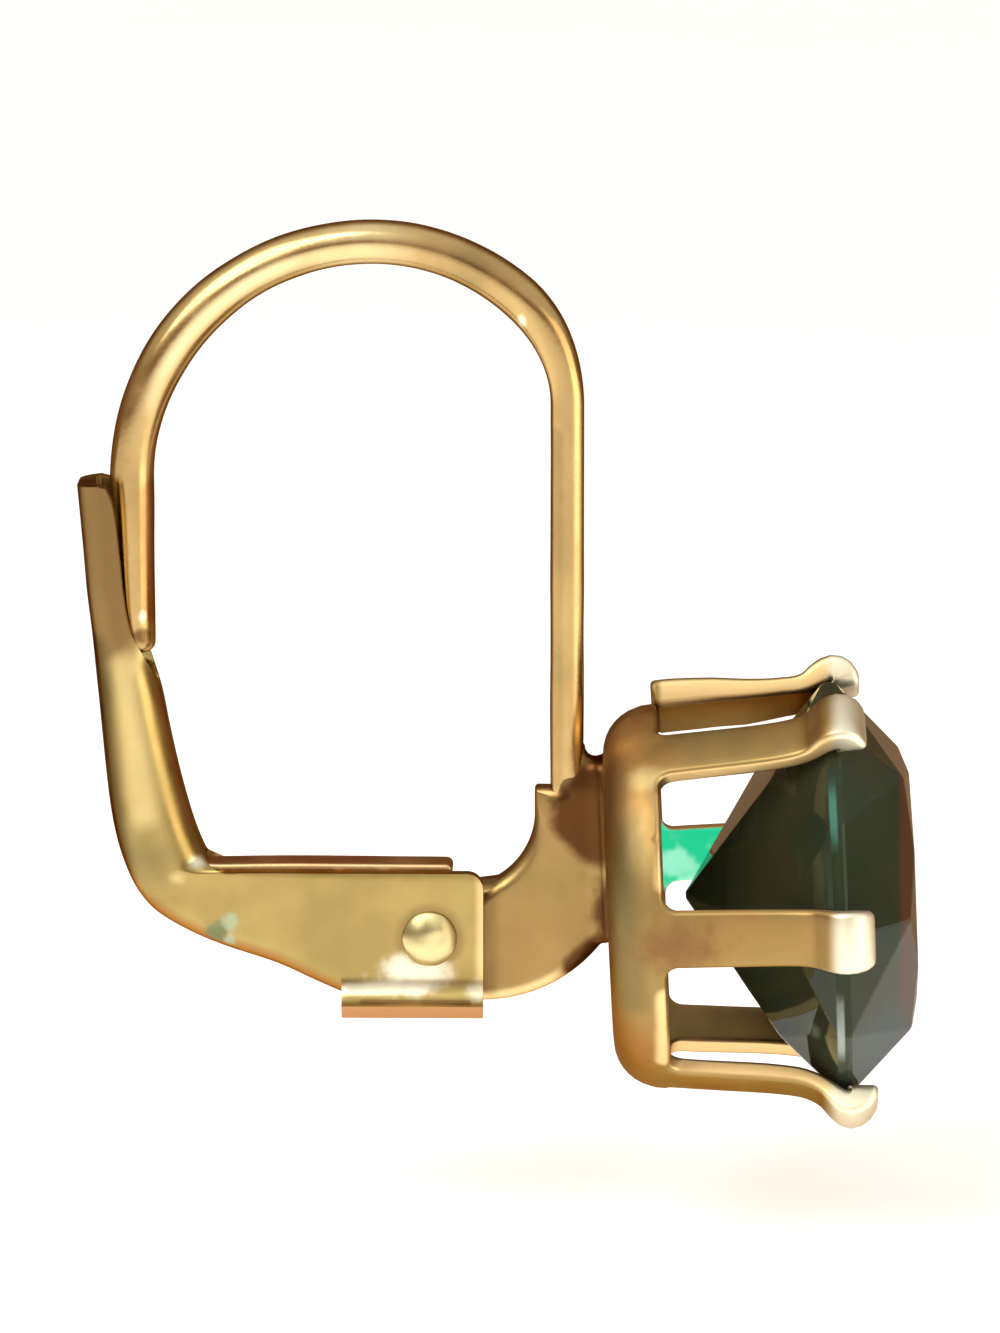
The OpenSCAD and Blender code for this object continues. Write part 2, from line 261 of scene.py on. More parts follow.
def vectorNode(tree, operation, *values):
    node = tree.nodes.new("ShaderNodeVectorMath")
    node.operation = operation
    for socket, value in zip(node.inputs, values):
        feed(tree, socket, value)
    return node.outputs["Value" if operation in ("LENGTH", "DOT_PRODUCT") else "Vector"]


def mixColor(tree, share, first, second):
    mix = tree.nodes.new("ShaderNodeMix")
    mix.data_type = "RGBA"
    for socket, value in ((0, share), (6, first), (7, second)):
        feed(tree, mix.inputs[socket], value)
    return mix.outputs[2]


def ramp(tree, source, stops):
    node = tree.nodes.new("ShaderNodeValToRGB")
    node.color_ramp.interpolation = "EASE"
    while len(node.color_ramp.elements) < len(stops):
        node.color_ramp.elements.new(0.5)
    for element, (place, shade) in zip(node.color_ramp.elements, stops):
        element.position = place
        element.color = shade if isinstance(shade, tuple) else (shade, shade, shade, 1)
    tree.links.new(source, node.inputs[0])
    return node.outputs[0]


def stepMask(tree, value, low, high):  # 0 at low and 1 at high, smooth between
    node = tree.nodes.new("ShaderNodeMapRange")
    node.interpolation_type = "SMOOTHSTEP"
    for socket, number in zip(node.inputs, (value, low, high, 0.0, 1.0)):
        feed(tree, socket, number)
    return node.outputs[0]


def objectPlace(tree):
    return tree.nodes.new("ShaderNodeTexCoord").outputs["Object"]


def objectNormal(tree):
    return tree.nodes.new("ShaderNodeTexCoord").outputs["Normal"]


def noiseField(tree, scale, detail=3.0):  # cloudy noise, with its scale in waves per millimetre
    field = tree.nodes.new("ShaderNodeTexNoise")
    field.inputs["Scale"].default_value = 1.0
    field.inputs["Detail"].default_value = detail
    scaled = vectorNode(tree, "MULTIPLY", objectPlace(tree), [scale / mm] * 3)
    tree.links.new(scaled, field.inputs["Vector"])
    return field.outputs["Fac"]


spotWaves, leastReach = 2.2, 0.3  # the unevenness of spots, finer for a smaller one
bandWaves, bandUneven = 1.4, 0.3


def spotMask(tree, centre, reach, soft=0.5, stretch=(1, 1, 1), uneven=0.5):  # an uneven spot round a place
    moved = vectorNode(tree, "SUBTRACT", objectPlace(tree), [c * mm for c in centre])
    scaled = vectorNode(tree, "MULTIPLY", moved, [share / (reach * mm) for share in stretch])
    wobble = mathNode(tree, "MULTIPLY_ADD", noiseField(tree, spotWaves / max(reach, leastReach)), uneven,
                      -uneven / 2)
    return stepMask(tree, mathNode(tree, "ADD", vectorNode(tree, "LENGTH", scaled), wobble), 1.0, 1.0 - soft)


def facingMask(tree, axis, low, high):  # where the surface looks along an axis of the piece
    return stepMask(tree, vectorNode(tree, "DOT_PRODUCT", objectNormal(tree), axis), low, high)


def beyondMask(tree, axis, low, high):  # where the piece lies far along an axis
    return stepMask(tree, vectorNode(tree, "DOT_PRODUCT", objectPlace(tree), axis), low * mm, high * mm)


def ringMask(tree, x, z, inner, outer):  # a soft ring round an axis across the piece
    moved = vectorNode(tree, "SUBTRACT", objectPlace(tree), (x * mm, 0, z * mm))
    far = vectorNode(tree, "LENGTH", vectorNode(tree, "MULTIPLY", moved, (1, 0, 1)))
    return mathNode(tree, "MULTIPLY", stepMask(tree, far, inner * mm, inner * 1.06 * mm),
                    stepMask(tree, far, outer * mm, inner * 1.06 * mm))


def lineMask(tree, start, end, reach, soft=0.6):  # a soft band along a straight line
    start, end = Vector(start) * mm, Vector(end) * mm
    along = (end - start).normalized()
    moved = vectorNode(tree, "SUBTRACT", objectPlace(tree), tuple(start))
    share = mathNode(tree, "MINIMUM", vectorNode(tree, "DOT_PRODUCT", moved, tuple(along)), (end - start).length)
    share = mathNode(tree, "MAXIMUM", share, 0.0)
    scale = tree.nodes.new("ShaderNodeVectorMath")
    scale.operation = "SCALE"
    scale.inputs[0].default_value = along
    tree.links.new(share, scale.inputs["Scale"])
    away = vectorNode(tree, "LENGTH", vectorNode(tree, "SUBTRACT", moved, scale.outputs[0]))
    uneven = bandUneven * reach * mm
    wobble = mathNode(tree, "MULTIPLY_ADD", noiseField(tree, bandWaves), uneven, -uneven / 2)
    return stepMask(tree, mathNode(tree, "ADD", away, wobble), reach * mm, reach * (1 - soft) * mm)


goldLook = dict(
    pale=(0.70, 0.56, 0.25, 1), brightGold=(0.95, 0.80, 0.44, 1), cream=(0.98, 0.94, 0.74, 1),
    straw=(1.0, 0.74, 0.36, 1), warm=(0.86, 0.56, 0.23, 1), rosy=(0.52, 0.26, 0.125, 1),
    orange=(0.42, 0.19, 0.06, 1), dimGold=(0.24, 0.15, 0.058, 1), olive=(0.22, 0.175, 0.075, 1),
    shade=(0.135, 0.095, 0.038, 1), brown=(0.105, 0.043, 0.014, 1), umber=(0.24, 0.12, 0.05, 1),
    inner=(0.42, 0.25, 0.115, 1), verdigris=(0.40, 0.50, 0.34, 1), patina=(0.10, 0.19, 0.11, 1),
    emerald=(0.02, 0.72, 0.36, 1), mint=(0.35, 1.0, 0.70, 1),
)
dullTints = ("verdigris", "patina")  # the tints that cover the metal
goldSurface = dict(
    cloud=0.6, cloudFrom=0.38, cloudTo=0.68,  # slow patches of the second gold
    glow=0.7, mottle=1.6, mottleFrom=0.42, mottleTo=0.6,  # where light falls on it through the stone
    wear=1.1, wearFrom=0.3, wearTo=0.75,  # patches of smoother and rougher metal
    grain=9.0, grainHeight=0.3, wave=1.3, waveHeight=0.4, bump=0.3, bumpDepth=0.02,
    dullFrom=0.2, dullTo=0.9, dullMetal=0.15,  # how a covering tint takes the metal's shine
    edge=(0.42, 0.20, 0.085, 1),  # the colour that the metal takes at a grazing view
)


def goldMaterial(name, base, second, layers=(), roughness=(0.24, 0.36), lit=None):
    g = goldSurface
    material, tree, shader = newMaterial(name)
    cloud = ramp(tree, noiseField(tree, g["cloud"], 4.0), [(g["cloudFrom"], 0.0), (g["cloudTo"], 1.0)])
    shade = mixColor(tree, cloud, base, second)
    metal = 1.0
    for makeMask, strength, tint in layers:  # each layer lays a tint over the ones before it
        share = mathNode(tree, "MULTIPLY", makeMask(tree), strength)
        shade = mixColor(tree, share, shade, goldLook[tint])
        if tint in dullTints:
            bare = ramp(tree, share, [(g["dullFrom"], 1.0), (g["dullTo"], g["dullMetal"])])
            metal = mathNode(tree, "MULTIPLY", metal, bare)
    if lit:  # a place lit by the light that the stone lets through
        makeMask, deep, light = lit
        share = makeMask(tree)
        metal = mathNode(tree, "SUBTRACT", metal, share)
        mottled = ramp(tree, noiseField(tree, g["mottle"], 2.0), [(g["mottleFrom"], 0.0), (g["mottleTo"], 1.0)])
        glow = mixColor(tree, mottled, goldLook[deep], goldLook[light])
        shade = mixColor(tree, share, shade, glow)
        feed(tree, shader.inputs["Emission Color"], mixColor(tree, share, (0.0, 0.0, 0.0, 1.0), glow))
        shader.inputs["Emission Strength"].default_value = g["glow"]
    feed(tree, shader.inputs["Base Color"], shade)
    feed(tree, shader.inputs["Metallic"], metal)
    shader.inputs["Specular Tint"].default_value = g["edge"]
    rough = ramp(tree, noiseField(tree, g["wear"], 5.0), [(g["wearFrom"], roughness[0]), (g["wearTo"], roughness[1])])
    feed(tree, shader.inputs["Roughness"], rough)
    grain = mathNode(tree, "MULTIPLY", noiseField(tree, g["grain"], 4.0), g["grainHeight"])
    total = mathNode(tree, "MULTIPLY_ADD", noiseField(tree, g["wave"], 2.0), g["waveHeight"], grain)
    bump = tree.nodes.new("ShaderNodeBump")
    bump.inputs["Strength"].default_value = g["bump"]
    bump.inputs["Distance"].default_value = g["bumpDepth"] * mm
    tree.links.new(total, bump.inputs["Height"])
    tree.links.new(bump.outputs[0], shader.inputs["Normal"])
    return material


def spotAt(*settings, **more):
    return lambda tree: spotMask(tree, *settings, **more)


def facingTo(*settings):
    return lambda tree: facingMask(tree, *settings)


def bandAlong(*settings):
    return lambda tree: lineMask(tree, *settings)


def farAlong(*settings):
    return lambda tree: beyondMask(tree, *settings)


def stoneMaterial(look):
    material, tree, shader = newMaterial("green_glass")
    cloud = ramp(tree, noiseField(tree, look["cloud"], 2.0), [(look["cloudFrom"], 0.0), (look["cloudTo"], 1.0)])
    shade = mixColor(tree, cloud, look["green"], look["olive"])
    for makeMask, strength, tint in look["layers"]:
        shade = mixColor(tree, mathNode(tree, "MULTIPLY", makeMask(tree), strength), shade, look[tint])
    feed(tree, shader.inputs["Base Color"], shade)
    for socket, key in (("Transmission Weight", "clear"), ("IOR", "bend"), ("Specular IOR Level", "shine"),
                        ("Specular Tint", "shineTint"), ("Roughness", "rough")):
        shader.inputs[socket].default_value = look[key]
    return material


print("tools and materials ready")


# The ear wire: free end at the back, arch, shoulder and a leg that is hammered flat
earWire = dict(
    thick=0.88, backRadius=4.8, crownRadius=4.4, crownSweep=40, shoulderRadius=2.9,
    tailZ=-7.83, legEndZ=-11.3, legThick=0.67, legWide=0.84, sides=48,
    swell=0.07, swellAt=140, swellReach=32, tailRound=0.2,
    tailSteps=41, backSteps=60, crownSteps=26, shoulderSteps=32, legSteps=60,
    ridgeAt=0.07, ridgeLeft=0.06, ridgeRight=0.42,  # where the leg's two flats meet, and how they slope
    ridgeFrom=0.6, ridgeTo=1.9, flush=0.16, flushTo=1.3,  # how the leg's end runs flush into the foot
    uneven=0.018, unevenWaves=0.9, flatPower=2.6, tailRounds=(0.0, 0.4, 0.7, 0.9, 0.98), waves=(0.006, 1.1, 3),
    gold=(0.57, 0.395, 0.165, 1), secondGold=(0.50, 0.335, 0.135, 1),
)


def wireRing(at, turn, out, side, flat=0.0, ridge=1.0):
    w = earWire
    power = 2 + w["flatPower"] * flat  # 2 makes it round, and more makes it squarer
    ahead = direction(turn)
    ring = []
    for i in range(w["sides"]):
        c, s = direction(360 * i / w["sides"])
        a = out * math.copysign(abs(c) ** (2 / power), c)
        slope = w["ridgeRight"] if a > w["ridgeAt"] else w["ridgeLeft"]
        b = math.copysign(abs(s) ** (2 / power), s) * (side - flat * ridge * slope * abs(a - w["ridgeAt"]))
        ring.append(Vector((at.x + a * ahead.x, b, at.y + a * ahead.y)))
    return ring


def buildEarWire(material):
    w = earWire
    half = w["thick"] / 2
    backAt = Vector((0, half - w["backRadius"]))
    crownAt = Vector((0, half - w["crownRadius"]))
    shoulderAt = crownAt + (w["crownRadius"] - w["shoulderRadius"]) * direction(90 - w["crownSweep"])
    legX = shoulderAt.x + w["shoulderRadius"]
    stations = []  # place, turn of the outer side, flatness
    for k in range(w["tailSteps"]):
        z = w["tailZ"] + (backAt.y - w["tailZ"]) * k / w["tailSteps"]
        stations.append((Vector((-w["backRadius"], z)), 180, 0.0))
    for at, radius, start, end, steps in (
        (backAt, w["backRadius"], 180, 90, w["backSteps"]),
        (crownAt, w["crownRadius"], 88.5, 90 - w["crownSweep"], w["crownSteps"]),
        (shoulderAt, w["shoulderRadius"], 88 - w["crownSweep"], 0, w["shoulderSteps"]),
    ):
        for k in range(steps + 1):
            turn = start + (end - start) * k / steps
            flat = blendStep(-turn, w["crownSweep"] - 90, -4) if at == shoulderAt else 0.0
            stations.append((at + radius * direction(turn), turn, flat))
    for k in range(1, w["legSteps"] + 1):
        z = shoulderAt.y + (w["legEndZ"] - shoulderAt.y) * k / w["legSteps"]
        stations.append((Vector((legX, z)), 0, 1.0))
    rings = []
    for at, turn, flat in stations:
        swell = 1 + w["swell"] * (1 - blendStep(abs(turn - w["swellAt"]), 0, w["swellReach"]))
        uneven = 1 + w["uneven"] * noise.noise(Vector((at.x, 0, at.y)) * w["unevenWaves"])
        out = (half * (1 - flat) + w["legThick"] / 2 * flat) * swell * uneven
        side = (half * (1 - flat) + w["legWide"] / 2 * flat) * uneven
        aboveEnd = at.y - w["legEndZ"]
        ridge = blendStep(aboveEnd, w["ridgeFrom"], w["ridgeTo"]) if at.x > 0 else 1.0
        if flat:
            side -= w["flush"] * (1 - blendStep(aboveEnd, 0, w["flushTo"]))
        rings.append(wireRing(at, turn, out, side, flat, ridge))
    dome = [wireRing(Vector((-w["backRadius"], w["tailZ"] + w["tailRound"] * (1 - math.sqrt(1 - r * r)))), 180,
                     half * (0.5 + 0.5 * r), half * (0.5 + 0.5 * r)) for r in w["tailRounds"]]
    rings = dome + [ring for ring, (at, _, _) in zip(rings, stations) if at.y > w["tailZ"] + w["tailRound"]
                    or at.x > 0]
    bm = loft(rings)
    roughen(bm, *w["waves"])
    return finishPiece("ear_wire", bm, "hook", material)


# The flattened foot of the wire, with its round nose, and the solder that joins it to the basket
footPlate = dict(
    half=0.42, edge=0.26, noseRadius=1.05, bellyRadius=3.0, bellyX=2.174, bellyZ=-11.93,
    biteX=1.664, biteZ=-11.1, biteRadius=1.56, stepZ=-10.55, stepRound=0.07, legIn=3.62, legOut=4.1,
    topZ=-9.55, neckLow=-13.72, inCup=0.16, notchX=4.45, notchZ=-9.74, notchRadius=0.23, flare=0.42,
    neckRound=0.16, neckLead=0.15, neckLap=0.1,  # the small hollow round under the solder
    sink=0.3, sinkBelow=0.1, sinkAbove=0.9,  # how the foot gets thinner where it runs into the leg
    flareLead=0.02, flareFull=0.9, swellFrom=0.1, swellTo=0.3, spacing=0.12, grid=0.11, waves=(0.006, 1.5, 7),
    gold=(0.40, 0.26, 0.098, 1), secondGold=(0.36, 0.25, 0.093, 1),
)


def cupBackX(z):  # where the back of the basket's cup stands at a height
    b = basketSheet
    return b["centreX"] - (z - b["centreZ"]) * math.tan(math.radians(b["tilt"]))


def footOutline():
    f = footPlate
    stepX = f["biteX"] + f["biteRadius"]
    line = arc((stepX + f["stepRound"], f["stepZ"] - f["stepRound"]), f["stepRound"], 90, 180, 4)
    line += arc((f["biteX"], f["biteZ"]), f["biteRadius"], 0, -58, 22)
    line += arc((hingeX, hingeZ), f["noseRadius"], 68, 254, 44)
    line += arc((f["bellyX"], f["bellyZ"]), f["bellyRadius"], -90, -39, 26)
    lowX = cupBackX(f["neckLow"]) + f["inCup"]
    line += arc((line[-1].x + f["neckLead"], f["neckLow"] - f["neckRound"]), f["neckRound"], 160, 90, 4)
    line += [Vector((lowX, f["neckLow"]))]
    neck = Vector((cupBackX(f["notchZ"]) + f["inCup"], f["notchZ"] + f["neckLap"]))
    line += evenLine([line[-1], neck], f["spacing"])[1:]
    line += arc((f["notchX"], f["notchZ"]), f["notchRadius"], 0, -180, 8)
    line += evenLine([line[-1], Vector((f["legOut"], f["topZ"])), Vector((f["legIn"], f["topZ"])),
                      Vector((f["legIn"], f["stepZ"]))], 0.1)[1:]
    return line


def buildFoot(material):
    f = footPlate
    outline = footOutline()

    def place(u, v, n):  # the solder swells toward the cup
        fillet = min(max(0.0, u - (cupBackX(v) - f["flare"] + f["flareLead"])), f["flare"] * f["flareFull"])
        swell = f["flare"] - math.sqrt(f["flare"] ** 2 - fillet ** 2)
        n *= 1 - f["sink"] * blendStep(v, f["stepZ"] - f["sinkBelow"], f["stepZ"] + f["sinkAbove"])
        swell *= blendStep(abs(n), f["swellFrom"], f["swellTo"])
        return Vector((u, math.copysign(abs(n) + swell, n), v))

    bm = sheetMesh(outline, [], f["half"], f["edge"], f["grid"], place, closed=True)
    roughen(bm, *f["waves"])
    return finishPiece("foot_plate", bm, "hook", material, ["hook_setting"])


# The stamped basket: a round cup and six prongs, one sheet
basketSheet = dict(
    centreX=4.704, centreZ=-12.86, tilt=2.5, radius=3.84, depth=1.12, backRound=0.95, sheet=0.36,
    edge=0.1, prongs=6, prongWide=1.14, tipWide=1.0, corner=0.28, tipRound=0.24, patternRadius=3.8,
    proud=4, proudHalf=0.29, proudWide=0.42,  # the prong that stands proud: thicker, and wider at the far side
    proudRoot=0.1, proudTaper=1.8, proudThins=2.8,  # its root below the rim, and how far up it is wide and thick
    clawThick=0.36, clawFill=0.9,  # how much thicker a prong gets over the stone's edge, and on the stone's side
    clawFrom=4.15, clawFull=4.6, clawEase=4.85, clawEnd=5.1, fillFrom=4.5, fillFull=4.8,
    flatPoints=9, roundSteps=10, rimStrip=0.55, stripRows=5, divisions=16, cupRows=26, firstRow=0.25,
    spacing=0.12, sideSpacing=0.2, grid=0.13, probe=0.04, weld=0.002, waves=(0.007, 1.2, 11),
    gold=(0.40, 0.26, 0.092, 1), secondGold=(0.34, 0.245, 0.092, 1),
)
prongLine = [(3.66, 0.80), (3.68, 1.0), (3.74, 1.4), (3.82, 2.2), (3.91, 3.1), (4.02, 3.75), (4.17, 4.12),
             (4.42, 4.42), (4.55, 4.66), (4.51, 4.86), (4.35, 4.99), (4.14, 5.02)]
prongLift = {  # how far a prong is bent out at a few heights, by its place round the basket
    1: [(3.7, 0.0), (4.6, 0.08), (4.9, 0.05)],
    4: [(1.0, 0.44), (2.3, 0.36), (3.7, 0.20), (4.4, 0.02)],
}


def basketPlace():
    b = basketSheet
    tilt = math.radians(90 - b["tilt"])
    return Matrix.Translation((b["centreX"], 0, b["centreZ"])) @ Matrix.Rotation(tilt, 4, "Y")


def basketProfile():  # middle line of the sheet from the centre of the back, with its length
    b = basketSheet
    half = b["sheet"] / 2
    line = [Vector((r, half)) for r in np.linspace(0.0, b["radius"] - b["backRound"], b["flatPoints"])]
    line += arc((b["radius"] - b["backRound"], b["backRound"]), b["backRound"] - half, -90, -10, b["roundSteps"])[1:]
    line += smoothLine(prongLine, 8)
    length = [0.0]
    for here, there in zip(line, line[1:]):
        length.append(length[-1] + (there - here).length)
    return line, np.array(length)


def buildBasket(material):
    b = basketSheet
    middle, length = basketProfile()
    table = np.array(middle)
    sector = math.pi / b["prongs"] * b["patternRadius"]
    wall = b["flatPoints"] + b["roundSteps"]  # the first point of the wall
    rimS = float(np.interp(b["depth"], table[wall:, 1], length[wall:]))
    startS = rimS - b["rimStrip"]
    half = b["sheet"] / 2
    whole = basketPlace()

    def bent(turn, s, n, lift):
        r, z = np.interp(s, length, table[:, 0]), np.interp(s, length, table[:, 1])
        (r1, z1), (r2, z2) = [[np.interp(s + step, length, table[:, side]) for side in (0, 1)]
                              for step in (-b["probe"], b["probe"])]
        along = Vector((r2 - r1, z2 - z1)).normalized()
        claw = b["clawThick"] * (blendStep(z, b["clawFrom"], b["clawFull"])
                                 - 0.5 * blendStep(z, b["clawEase"], b["clawEnd"]))
        n *= 1 + (claw if n > 0 else claw + b["clawFill"] * blendStep(z, b["fillFrom"], b["fillFull"]))
        r, z = r + along.y * n, z - along.x * n
        if lift:
            heights, lifts = zip(*lift)
            r += float(np.interp(z, heights, lifts))
        return whole @ Vector((r * math.cos(turn), r * math.sin(turn), z))

    wide, tip = b["prongWide"] / 2, b["tipWide"] / 2
    topS = float(length[-1])
    c, t = b["corner"], b["tipRound"]
    right = evenLine([Vector((sector, rimS)), Vector((wide + c, rimS))], b["spacing"])[:-1]
    right += arc((wide + c, rimS + c), c, -90, -180, 8)
    right += evenLine([right[-1], Vector((tip, topS - t))], b["spacing"])[1:-1]
    right += arc((tip - t, topS - t), t, 0, 90, 7)
    left = [Vector((-p.x, p.y)) for p in reversed(right)]
    edge = evenLine(right + left, b["sideSpacing"])
    bareEdge = evenLine([Vector((sector, rimS)), Vector((-sector, rimS))], b["spacing"])
    strip = arc((tip - t, topS - t), t, 0, 90, 7) + arc((t - tip, topS - t), t, 90, 180, 7)
    farSide = -wide - b["proudWide"]
    strip += [Vector((farSide, rimS + b["proudTaper"])), Vector((farSide, rimS - b["proudRoot"]))]
    strip += [Vector((wide, rimS - b["proudRoot"]))]
    strip = evenLine(strip + strip[:1], b["spacing"])[:-1]
    divisions, rows = b["divisions"], b["stripRows"]
    rest = [Vector((-sector, rimS - b["rimStrip"] * k / rows)) for k in range(1, rows)]
    rest += [Vector((-sector + 2 * sector * k / divisions, startS)) for k in range(divisions + 1)]
    rest += [Vector((sector, rimS - b["rimStrip"] * k / rows)) for k in range(rows - 1, 0, -1)]
    meshes = []
    for i in range(b["prongs"]):
        at = math.radians(360 / b["prongs"] * i - 90)
        lift = prongLift.get(i)

        def place(u, v, n, at=at, lift=lift):
            return bent(at + u / b["patternRadius"], v, n, lift)

        if i == b["proud"]:
            def placeProud(u, v, n, place=place):
                thick = b["proudHalf"] / half
                return place(u, v, n * (thick + (1 - thick) * blendStep(v, rimS, rimS + b["proudThins"])))

            meshes.append(sheetMesh(bareEdge, rest, half, b["edge"], b["grid"], lambda u, v, n, at=at: bent(
                at + u / b["patternRadius"], v, n, None)))
            meshes.append(sheetMesh(strip, [], half, b["edge"], b["grid"], placeProud, closed=True))
        else:
            meshes.append(sheetMesh(edge, rest, half, b["edge"], b["grid"], place))
    around = b["prongs"] * divisions
    start = math.radians(-90 - 180 / b["prongs"])
    for side in (half, -half):  # the back and the round edge of the cup, outside and inside
        rings = [[bent(start + 2 * math.pi * k / around, s, side, None) for k in range(around)]
                 for s in np.linspace(b["firstRow"], startS, b["cupRows"])]
        meshes.append(loft(rings, capStart=True, capEnd=False))
    bm = joinMeshes(*meshes)
    bmesh.ops.remove_doubles(bm, verts=bm.verts, dist=b["weld"])
    roughen(bm, *b["waves"])
    return finishPiece("basket", bm, "hook", material)


# The stone: table, star, main and girdle facets above, girdle and main facets below
cutStone = dict(
    girdleRadius=4.25, girdleZ=4.46, girdle=0.24, crown=1.42, pavilion=2.95,
    tableRadius=2.35, starRadius=2.95, lowerRadius=3.0, cuts=6, edge=0.035, clear=0.42,
    green=(0.036, 0.052, 0.028, 1), olive=(0.050, 0.046, 0.020, 1), teal=(0.10, 0.36, 0.29, 1),
    frost=(0.60, 0.72, 0.68, 1), slate=(0.055, 0.085, 0.085, 1), moss=(0.26, 0.32, 0.20, 1),
    redBrown=(0.17, 0.052, 0.024, 1),
    cloud=0.35, cloudFrom=0.35, cloudTo=0.7, bend=1.45, shine=0.22, shineTint=(0.62, 0.86, 0.80, 1), rough=0.03,
)


def buildStone(material):
    s = cutStone
    n = s["cuts"]
    turnHalf = 180 / n
    slope = math.cos(math.radians(turnHalf))
    starZ = s["crown"] * (s["girdleRadius"] - s["starRadius"] * slope) / (s["girdleRadius"] - s["tableRadius"])
    lowerZ = s["pavilion"] * (s["girdleRadius"] - s["lowerRadius"] * slope) / s["girdleRadius"]

    def ring(count, radius, z, start=0.0):
        return [bm.verts.new((*(radius * direction(start + 360 * i / count)), z)) for i in range(count)]

    bm = bmesh.new()
    table = ring(n, s["tableRadius"], s["girdle"] + s["crown"])
    star = ring(n, s["starRadius"], s["girdle"] + starZ, turnHalf)
    upper = ring(2 * n, s["girdleRadius"], s["girdle"])
    under = ring(2 * n, s["girdleRadius"], 0)
    lower = ring(n, s["lowerRadius"], -lowerZ, turnHalf)
    culet = bm.verts.new((0, 0, -s["pavilion"]))
    bm.faces.new(table)
    for i in range(n):
        k = (i + 1) % n
        bm.faces.new((table[k], table[i], star[i]))
        bm.faces.new((table[i], star[i - 1], upper[2 * i], star[i]))
        bm.faces.new((star[i], upper[2 * i], upper[2 * i + 1]))
        bm.faces.new((star[i], upper[2 * i + 1], upper[(2 * i + 2) % (2 * n)]))
        bm.faces.new((under[2 * i], lower[i], under[2 * i + 1]))
        bm.faces.new((under[2 * i + 1], lower[i], under[(2 * i + 2) % (2 * n)]))
        bm.faces.new((culet, lower[i], under[2 * i], lower[i - 1]))
    for i in range(2 * n):
        k = (i + 1) % (2 * n)
        bm.faces.new((upper[i], under[i], under[k], upper[k]))
    bmesh.ops.recalc_face_normals(bm, faces=bm.faces)
    bmesh.ops.bevel(bm, geom=bm.edges[:], offset=s["edge"], segments=1, affect="EDGES", profile=0.5)
    bm.transform(basketPlace() @ Matrix.Translation((0, 0, s["girdleZ"])) @ Matrix.Rotation(
        math.radians(turnHalf - 90), 4, "Z"))
    return finishPiece("round_stone", bm, "hook", material, ["stone"], smooth=False)


# The lever: one folded sheet, open round the wire's end, closed down the arm, open again at the cheeks
foldedLever = dict(
    half=0.79, sheet=0.3, innerFold=0.62, cheekTop=-12.2, cheekEnd=2.2, cornerRound=0.32,
    lipZ=-14.3, lipRadius=0.6, lipTurn=66, keelEnd=-0.636, uprightX=-1.5, cutRound=0.13, cutAngle=50,
    farFiled=0.12, farFrom=-3.3, farTo=-2.6, frontFiled=0.24, frontFrom=1.0, frontTo=1.5, filedZ=-13.0,
    filedBelow=0.1, backSteps=4, foldSteps=10, wallSteps=12, rollSteps=12, closeSteps=4, lipSteps=10,
    cheekSteps=22, cornerSteps=9, cutSteps=3, facingFrom=0.75, weld=0.0015,
    gold=(0.47, 0.35, 0.125, 1), secondGold=(0.39, 0.295, 0.102, 1),
)
leverStations = [  # outer contour x, z; inner contour x, z; how far the sheet is closed; roundness of the back
    (-5.87, -4.39, -5.28, -4.40, 0, 0.42),
    (-5.835, -4.80, -5.13, -4.84, 0, 0.42),
    (-5.76, -5.70, -5.03, -5.75, 0, 0.42),
    (-5.70, -6.50, -4.96, -6.50, 0, 0.42),
    (-5.64, -7.05, -4.88, -7.05, 0, 0.44),
    (-5.60, -7.45, -4.76, -7.42, 0.05, 0.48),
    (-5.57, -7.85, -4.56, -7.80, 0.4, 0.56),
    (-5.54, -8.25, -4.38, -8.20, 0.85, 0.62),
    (-5.50, -8.70, -4.24, -8.62, 1, 0.64),
    (-5.44, -9.40, -4.10, -9.35, 1, 0.65),
    (-5.37, -10.2, -3.93, -10.15, 1, 0.66),
    (-5.28, -11.0, -3.74, -10.9, 1, 0.66),
    (-5.15, -11.65, -3.57, -11.45, 1, 0.62),
    (-4.96, -12.22, -3.42, -11.82, 1, 0.56),
    (-4.72, -12.68, -3.30, -12.06, 0.5, 0.50),
    (-4.35, -13.08, -2.98, -12.2, 0, 0.44),
    (-3.72, -13.46, -2.62, -12.2, 0, 0.42),
    (-3.0, -13.77, -2.15, -12.2, 0, 0.42),
    (-1.96, -14.12, -1.60, -12.2, 0, 0.42),
    (-1.2, -14.47, -1.05, -12.2, 0, 0.42),
    (-0.636, -14.72, -0.636, -12.2, 0, 0.42),
]


def leverRib(outer, inward, target, close, fold):  # half a section of the sheet, from the back to its free edge
    v = foldedLever
    half, inner = v["half"], v["innerFold"]
    start = outer + inward * fold
    along = target - start
    depth = along.length
    ahead = along.normalized()
    rolled = math.radians(90 * min(1.0, close))
    inner = min(inner, depth)
    wallEnd = depth - inner * math.sin(rolled)
    rib = [(outer, -(half - fold) * k / v["backSteps"]) for k in range(v["backSteps"])]
    rib += [(outer + inward * fold * (1 - math.cos(a)), -(half - fold) - fold * math.sin(a))
            for a in (math.radians(90 * k / v["foldSteps"]) for k in range(v["foldSteps"] + 1))]
    rib += [(start + ahead * wallEnd * k / v["wallSteps"], -half) for k in range(1, v["wallSteps"] + 1)]
    for k in range(1, v["rollSteps"] + 1):
        a = rolled * k / v["rollSteps"]
        rib.append((start + ahead * (wallEnd + inner * math.sin(a)), -(half - inner) - inner * math.cos(a)))
    last = rib[-1]
    facing = blendStep(close, v["facingFrom"], 1.0)
    rib += [(last[0], last[1] * (1 - facing * k / v["closeSteps"])) for k in range(1, v["closeSteps"] + 1)]
    return [Vector((p.x, y, p.y)) for p, y in rib]


